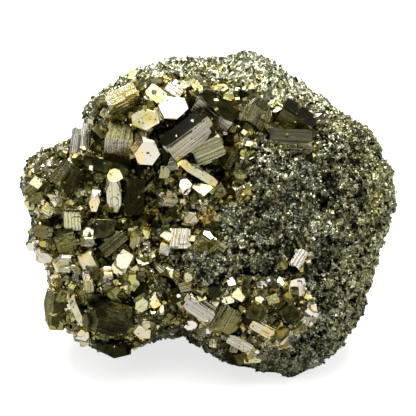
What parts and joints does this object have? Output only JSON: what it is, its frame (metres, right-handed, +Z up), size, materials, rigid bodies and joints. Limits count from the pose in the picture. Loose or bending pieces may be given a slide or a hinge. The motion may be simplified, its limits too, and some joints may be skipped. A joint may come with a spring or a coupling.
{
  "type": "pyrite specimen",
  "caption": "Free-standing lump of granular pyrite with a field of blocky brassy crystals on its front, resting on a flat underside; a display mineral.",
  "frame": {"origin": "middle of the specimen's box, at the level of its flat underside", "axes": "+Z up, the crystal field looks towards -Y and a little up, and lies mostly towards -X"},
  "size_m": [0.0946, 0.0676, 0.0714],
  "materials": {
    "massive_pyrite": "rough, granular, dull metallic",
    "crystal_pyrite": "bright brassy metallic, finely striated"
  },
  "bodies": {
    "root": {"massive_pyrite": "massive_pyrite", "crown_crystal_1": "crystal_pyrite", "crown_crystal_2": "crystal_pyrite", "crown_crystal_3": "crystal_pyrite", "crown_crystal_4": "crystal_pyrite", "crown_crystal_5": "crystal_pyrite", "crown_crystal_6": "crystal_pyrite", "crown_crystal_7": "crystal_pyrite", "crown_crystal_8": "crystal_pyrite", "crown_crystal_9": "crystal_pyrite", "crown_crystal_10": "crystal_pyrite", "crown_crystal_11": "crystal_pyrite", "crown_crystal_12": "crystal_pyrite", "crown_crystal_13": "crystal_pyrite", "trench_crystal_1": "crystal_pyrite", "trench_crystal_2": "crystal_pyrite", "valley_crystal_1": "crystal_pyrite", "valley_crystal_2": "crystal_pyrite", "valley_crystal_3": "crystal_pyrite", "valley_crystal_4": "crystal_pyrite", "valley_crystal_5": "crystal_pyrite", "valley_crystal_6": "crystal_pyrite", "valley_crystal_7": "crystal_pyrite", "valley_crystal_8": "crystal_pyrite", "valley_crystal_9": "crystal_pyrite", "valley_crystal_10": "crystal_pyrite", "left_lobe_crystal_1": "crystal_pyrite", "left_lobe_crystal_2": "crystal_pyrite", "left_lobe_crystal_3": "crystal_pyrite", "left_lobe_crystal_4": "crystal_pyrite", "left_lobe_crystal_5": "crystal_pyrite", "left_lobe_crystal_6": "crystal_pyrite", "left_lobe_crystal_7": "crystal_pyrite", "left_lobe_crystal_8": "crystal_pyrite", "left_lobe_crystal_9": "crystal_pyrite", "left_lobe_crystal_10": "crystal_pyrite", "left_lobe_crystal_11": "crystal_pyrite", "left_lobe_crystal_12": "crystal_pyrite", "left_lobe_crystal_13": "crystal_pyrite", "left_lobe_crystal_14": "crystal_pyrite", "left_lobe_crystal_15": "crystal_pyrite", "lower_lobe_crystal_1": "crystal_pyrite", "lower_lobe_crystal_2": "crystal_pyrite", "lower_lobe_crystal_3": "crystal_pyrite", "lower_lobe_crystal_4": "crystal_pyrite", "lower_lobe_crystal_5": "crystal_pyrite", "lower_lobe_crystal_6": "crystal_pyrite", "lower_lobe_crystal_7": "crystal_pyrite", "lower_lobe_crystal_8": "crystal_pyrite", "recess_crystal_1": "crystal_pyrite", "recess_crystal_2": "crystal_pyrite", "ledge_crystal_1": "crystal_pyrite", "ledge_crystal_2": "crystal_pyrite", "ledge_crystal_3": "crystal_pyrite", "ledge_crystal_4": "crystal_pyrite", "ledge_crystal_5": "crystal_pyrite", "ledge_crystal_6": "crystal_pyrite", "ledge_crystal_7": "crystal_pyrite", "mass_crystal_1": "crystal_pyrite", "mass_crystal_2": "crystal_pyrite"}
  },
  "joints": []
}
